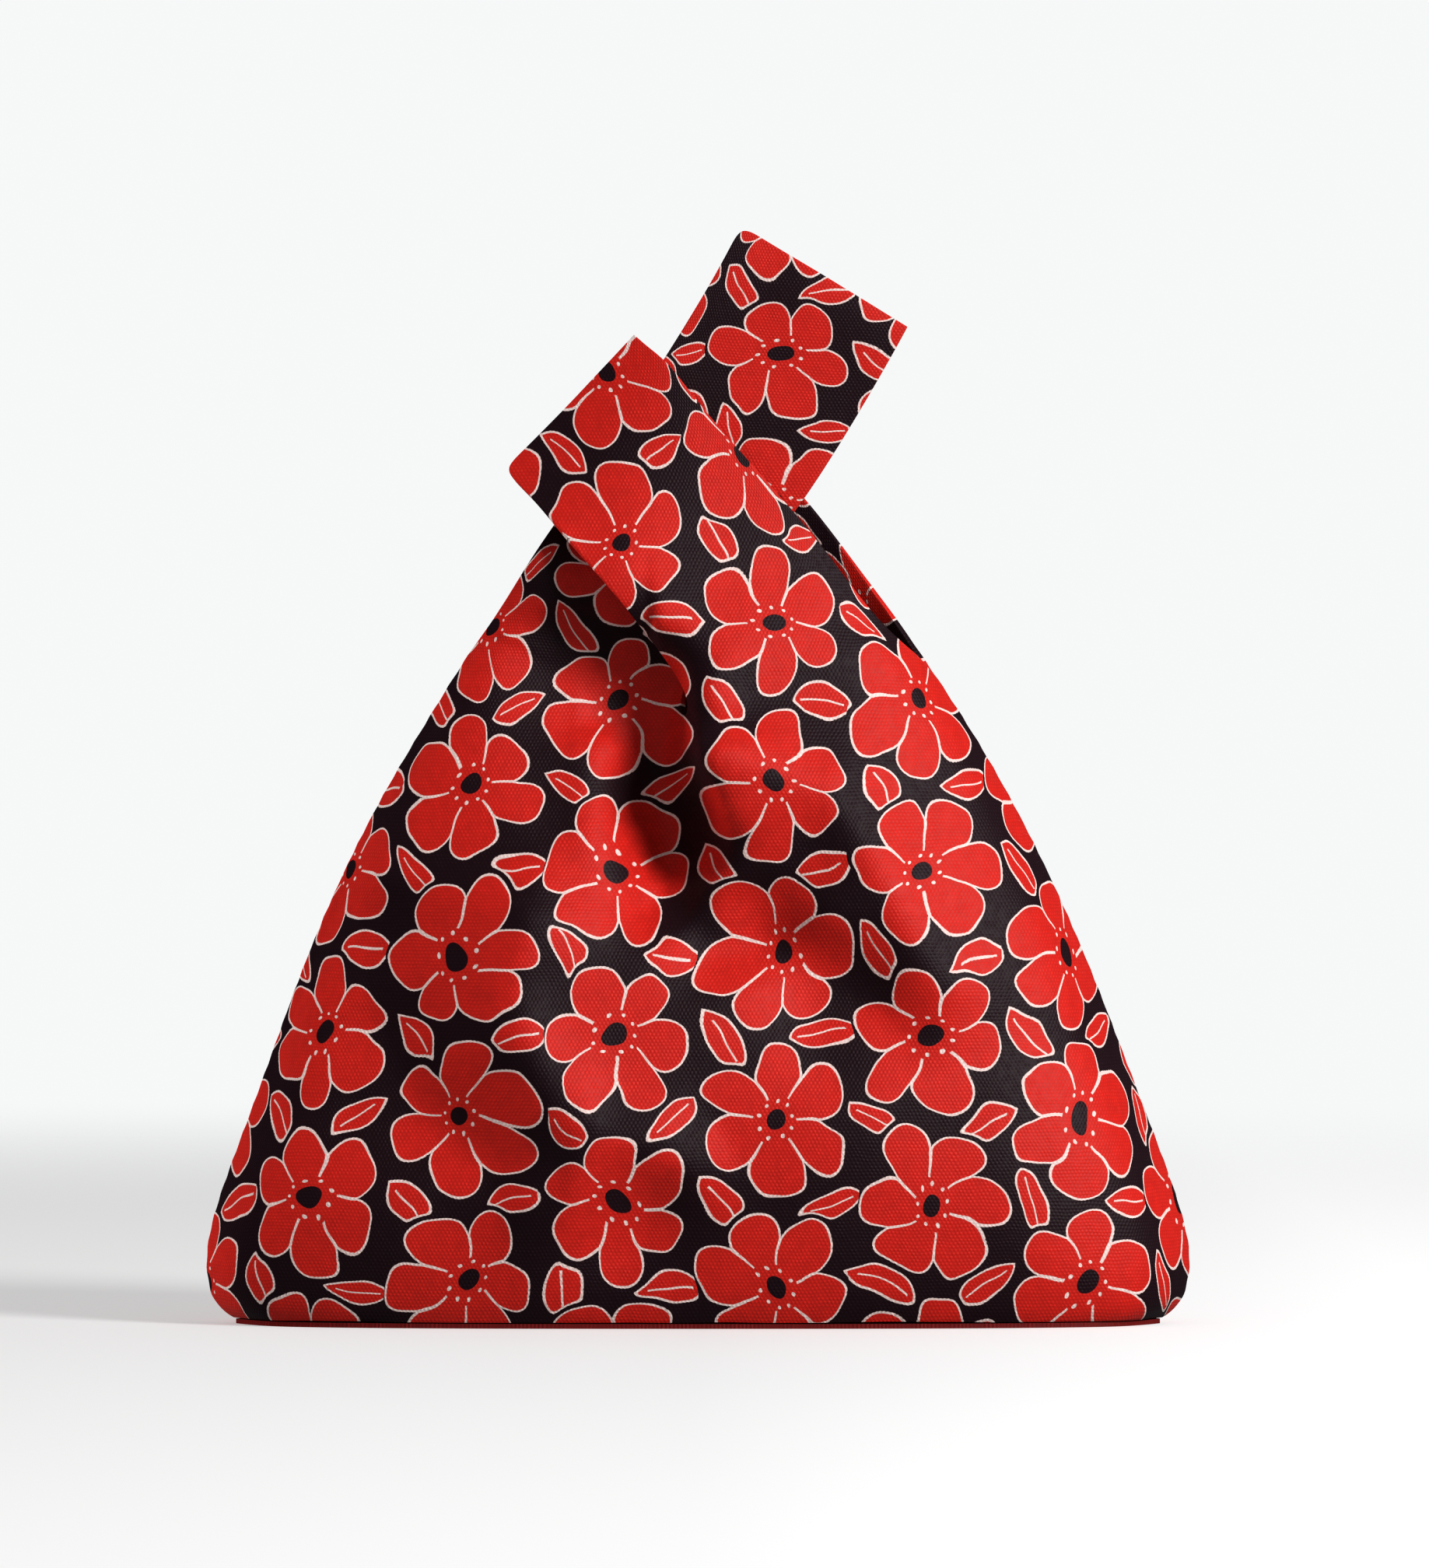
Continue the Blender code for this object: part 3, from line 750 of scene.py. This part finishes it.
# %% The outer face with its folds, in millimetres
SUBDIVISIONS = 3
LEAST_ROOM = 2.6
LEAST_SHARE = 0.8
BACK_PULL = 6.0
BACK_PULL_REACH = 24.0
BACK_PULL_CENTRE = (-4.0, 197.0)
PUCKER_PITCH = 8.5
PUCKER_WANDER = (1.5, 23.0)
PUCKER_REACH = 7.0
PUCKER_HEIGHT = 0.14
HELD_REACH = 12.0


def smooth_panel(name, side, folds):
    """A panel's outer face as a fine grid with all its folds."""
    cage = linked(name, panel_cage(name, side))
    subdivide = cage.modifiers.new("subdivide", "SUBSURF")
    subdivide.levels = subdivide.render_levels = SUBDIVISIONS
    subdivide.uv_smooth = "SMOOTH_ALL"
    mesh = evaluated_mesh(cage)
    bpy.data.objects.remove(cage, do_unlink=True)
    outward = -1 if side == "front" else 1
    points = np.empty(len(mesh.vertices) * 3)
    mesh.vertices.foreach_get("co", points)
    points = points.reshape(-1, 3) / MM
    flat = points[:, [0, 2]]
    out = outward * points[:, 1]
    moved = sum(fold_height(flat, fold) for fold in folds.values())
    # A valley comes ever closer to the least room for both layers, but never past it.
    least = np.minimum(LEAST_ROOM, LEAST_SHARE * out)
    pressed = least + (out - least) * np.exp(np.minimum(moved, 0.0) / (out - least))
    points[:, 1] = outward * np.where(moved < 0, pressed, out + moved)
    if side == "back":
        # The crossing straps pull the back's neck a little to one side, so it doesn't mirror the front.
        away = np.linalg.norm(flat - BACK_PULL_CENTRE, axis=1)
        points[:, 0] += BACK_PULL * np.exp(-((away / BACK_PULL_REACH) ** 2))
    mesh.vertices.foreach_set("co", (points * MM).ravel())
    mesh.update()

    sewn = np.empty(len(points))
    mesh.attributes["sewn"].data.foreach_get("value", sewn)
    normals = np.empty(len(points) * 3)
    mesh.vertex_normals.foreach_get("vector", normals)
    normals = normals.reshape(-1, 3)
    side_seams = points[sewn > 0.999]
    to_seam = np.array([np.abs(side_seams - point).max(axis=1).min() for point in points])
    wander = PUCKER_WANDER[0] * np.sin(points[:, 2] / PUCKER_WANDER[1])
    ripple = np.sin(points[:, 2] * 2 * np.pi / PUCKER_PITCH + wander)
    pucker = PUCKER_HEIGHT * ripple * np.exp(-((to_seam / PUCKER_REACH) ** 2))
    held = 1 - np.exp(-((to_seam / HELD_REACH) ** 2))
    moved = pucker + uneven_height(points) * held
    points += normals * moved[:, None]
    mesh.vertices.foreach_set("co", (points * MM).ravel())
    return mesh


# %% [markdown]
# A sheet without thickness looks like paper. Solidify gives it the 2 mm that turned canvas has, inwards, so
# that the outer face stays where it is. Where the two panels meet, each is held on its own side of the seam,
# and a small bevel rounds every edge, because a cloth edge is never sharp and has to catch a thin line of
# light.

# %% From a smooth face to a sheet of cloth
CLOTH = 2.0
BASE_THICK = 1.5
GAP = 0.3
SOFT_EDGE = 0.7
SHARP_FROM = math.radians(50)


def panel_cloth(name, side, folds):
    """A panel as a closed sheet with soft edges, on its own side of the plane in which the panels meet."""
    sheet = linked(name, smooth_panel(name, side, folds))
    thicken = sheet.modifiers.new("cloth", "SOLIDIFY")
    thicken.thickness = CLOTH * MM
    thicken.offset = -1
    thicken.use_even_offset = True
    mesh = evaluated_mesh(sheet)
    outward = -1 if side == "front" else 1
    lowest = (BASE_THICK + GAP) * MM
    for vertex in mesh.vertices:
        vertex.co.y = outward * max(outward * vertex.co.y, SEAM * MM)
        vertex.co.z = max(vertex.co.z, lowest)
    sheet.modifiers.clear()
    sheet.data = mesh
    bevel = sheet.modifiers.new("soft_edge", "BEVEL")
    bevel.width = SOFT_EDGE * MM
    bevel.segments = 2
    bevel.limit_method = "ANGLE"
    bevel.angle_limit = SHARP_FROM
    rounded = evaluated_mesh(sheet)
    sheet.modifiers.clear()
    sheet.data = rounded
    rounded.shade_smooth()
    rounded.materials.clear()
    rounded.materials.append(printed_canvas)
    triangles = sum(len(face.vertices) - 2 for face in rounded.polygons)
    print(name, len(rounded.vertices), "points,", triangles, "triangles")
    return sheet


front_cloth = panel_cloth("front_cloth", "front", FRONT_FOLDS)
back_cloth = panel_cloth("back_cloth", "back", BACK_FOLDS)

# %% [markdown]
# ## The flat base
# The bag stands on an oval of plain red canvas, of which the front shows only a thin line under the print. A
# closed curve through the foot's own section, filled and given a thickness, makes exactly that oval, and the
# print's sections don't have to be measured twice.

# %% The flat base
def base_cloth_piece():
    """The oval bottom, as thick as its cloth, with its underside on the ground."""
    foot = named_rows(BODY_COLUMNS, BODY)[0]
    front = body_section(foot, "front")[:, :2] * (1, -1)
    back = body_section(foot, "back")[:, :2]
    outline = np.concatenate([front, back[::-1]])
    curve = bpy.data.curves.new("base_cloth", "CURVE")
    curve.dimensions = "2D"
    curve.fill_mode = "BOTH"
    curve.extrude = BASE_THICK / 2 * MM
    curve.resolution_u = 6
    spline = curve.splines.new("NURBS")
    spline.points.add(len(outline) - 1)
    for point, (x, y) in zip(spline.points, outline):
        point.co = (x * MM, y * MM, 0.0, 1.0)
    spline.order_u = 4
    spline.use_cyclic_u = True
    base = linked("base_curve", curve)
    mesh = evaluated_mesh(base)
    bpy.data.objects.remove(base, do_unlink=True)
    for vertex in mesh.vertices:
        vertex.co.z += BASE_THICK / 2 * MM
    uv = mesh.uv_layers.get("cloth") or mesh.uv_layers.new(name="cloth")
    for loop in mesh.loops:
        uv.data[loop.index].uv = mesh.vertices[loop.vertex_index].co.xy
    mesh.materials.clear()
    mesh.materials.append(plain_canvas)
    return linked("base_cloth", mesh)


base_cloth = base_cloth_piece()
print("base:", [round(size / MM, 1) for size in base_cloth.dimensions], "mm")

# %% [markdown]
# ## The studio
# The bag was lit as small goods are: one big soft light high on the right gives the folds their shape, a weaker
# one from the left keeps the far side from going black, and a third from behind draws the straps' edges. The
# last two would wash out the shadow on the ground, so light linking lets them fall on the cloth alone, and
# glossy rays don't see them.

# %% Lights
def area_light(name, place, size, power, target, all_over):
    """A round soft light that the camera doesn't see. Unless it is all over, only the cloth is lit by it."""
    data = bpy.data.lights.new(name, "AREA")
    data.shape = "DISK"
    data.size = size
    data.energy = power
    light = linked(name, data)
    light.location = place
    light.rotation_euler = (Vector(target) - Vector(place)).to_track_quat("-Z", "Y").to_euler()
    light.visible_camera = False
    light.visible_glossy = all_over
    if not all_over:
        light.light_linking.receiver_collection = cloth_only


LIGHT_COLUMNS = ("name", "place", "size", "power", "target", "all_over")
MIDDLE_OF_BAG = (0.0, 0.0, 0.16)
LIGHTS = [
    ("key_light", (2.1, -1.95, 1.4), 1.0, 89.0, MIDDLE_OF_BAG, True),
    ("left_light", (-2.4, 0.6, 0.7), 0.8, 40.0, MIDDLE_OF_BAG, False),
    ("back_light", (1.0, 2.4, 1.3), 0.8, 20.0, MIDDLE_OF_BAG, False),
]
cloth_only = bpy.data.collections.new("cloth_only")
for piece in (front_cloth, back_cloth, base_cloth):
    cloth_only.objects.link(piece)
for light in named_rows(LIGHT_COLUMNS, LIGHTS):
    area_light(**light)
print("lights:", {light[0]: light[3] for light in LIGHTS}, "watts")

# %% [markdown]
# The ground is white paper that runs out of sight. It is a grey with painted light: the grey part takes the
# bag's shadow, and emission paints light on it that lifts it to white, a little more on the right, as if the
# paper lay nearer to the light there. Further out it fades into the background, so no horizon shows. It throws
# no light back on the cloth, because the room light below already stands for that.

# %% The ground
PAPER_GREY = "#C4C4C4"
PAPER_ROUGHNESS = 0.9
# Painted light on the ground: how strongly it shines by itself from left to right, over this span of x in
# metres.
PAINTED_LIGHT_SPAN = (0.0, 0.25)
PAINTED_LIGHT_LEVELS = (0.46, 0.63)
FADE = (0.9, 2.6)

# Matt uncoated paper without a shine, grey with painted light in its emission, so nothing shows on it but the
# soft shadow.
floor_material = bpy.data.materials.new("white_paper")
floor_material.use_nodes = True
tree = floor_material.node_tree
paper = tree.nodes["Principled BSDF"]
paper.inputs["Base Color"].default_value = linear(PAPER_GREY)
paper.inputs["Roughness"].default_value = PAPER_ROUGHNESS
paper.inputs["Specular IOR Level"].default_value = 0.0
paper.inputs["Emission Color"].default_value = linear("#FFFFFF")
coordinates = add(tree, "ShaderNodeTexCoord")
away = add(tree, VECTOR, [coordinates.outputs["Object"]], operation="LENGTH").outputs["Value"]
across = add(tree, "ShaderNodeSeparateXYZ", [coordinates.outputs["Object"]]).outputs["X"]
# Painted light: the ground shines by itself, more on the right, in place of light falling on it.
painted_floor_light = add(tree, "ShaderNodeMapRange", [across, *PAINTED_LIGHT_SPAN, *PAINTED_LIGHT_LEVELS])
tree.links.new(painted_floor_light.outputs[0], paper.inputs["Emission Strength"])
fade = add(tree, "ShaderNodeMapRange", [away, FADE[0], FADE[1], 0.0, 1.0], interpolation_type="SMOOTHSTEP")
clear = add(tree, "ShaderNodeBsdfTransparent")
blend = add(tree, "ShaderNodeMixShader", [fade, paper, clear])
tree.links.new(blend.outputs[0], tree.nodes["Material Output"].inputs["Surface"])
bpy.ops.mesh.primitive_circle_add(vertices=64, radius=FADE[1], fill_type="NGON")
floor = bpy.context.object
floor.name = "floor"
floor.data.materials.append(floor_material)
floor.visible_diffuse = False
floor.visible_glossy = False
print("ground:", 2 * FADE[1], "m across, fading from", FADE[0], "m")

# %% [markdown]
# White walls send light from everywhere, which reaches a ridge fully and the bottom of a furrow hardly at all.
# The background gives that light. Its reflection would lie on the cloth as a grey veil, so glossy rays find it
# almost dark, and the camera sees it as the near white of the backdrop. A view gamma a little below 1 deepens
# the middle tones, as the contrast of a product photo does.

# %% Room light and view
ROOM_LIGHT = 0.34
ROOM_GLOSS = 0.05
BACKDROP = "#F8F9F9"
VIEW_GAMMA = 0.82
world = bpy.data.worlds.new("studio")
world.use_nodes = True
tree = world.node_tree
light_path = add(tree, "ShaderNodeLightPath")
around = tree.nodes["Background"]
around.inputs["Color"].default_value = linear("#FFFFFF")
room = add(tree, "ShaderNodeMapRange", [light_path.outputs["Is Glossy Ray"], 0.0, 1.0, ROOM_LIGHT, ROOM_GLOSS])
tree.links.new(room.outputs[0], around.inputs["Strength"])
seen = add(tree, "ShaderNodeBackground", {"Color": linear(BACKDROP), "Strength": 1.0})
which = add(tree, "ShaderNodeMixShader", [light_path.outputs["Is Camera Ray"], around, seen])
tree.links.new(which.outputs[0], tree.nodes["World Output"].inputs["Surface"])
bpy.context.scene.world = world
bpy.context.scene.view_settings.view_transform = "Standard"
bpy.context.scene.view_settings.gamma = VIEW_GAMMA
print("room light", ROOM_LIGHT, "of the backdrop's white")

# %% [markdown]
# ## Each cloth in place of its solid
# Each cloth takes the place of its solid and stays with the bag. A maker would cut about 345 mm over the lower
# part of a panel, from seam to seam, and 371 mm up it to the end of the long strap.

# %% Each cloth in place of its solid
for piece, node, material_slot in (
    (front_cloth, "front_panel", "printed_cloth"),
    (back_cloth, "back_panel", "printed_cloth"),
    (base_cloth, "base_panel", "plain_cloth"),
):
    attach(piece, "root")
    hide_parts(node)
print("pieces:", [piece.name for piece in (front_cloth, back_cloth, base_cloth)])

# %% [markdown]
# ## A last update
# Folds may stand a little proud of the solids. At the end the view layer is updated once more.

# %% A last update
bpy.context.view_layer.update()
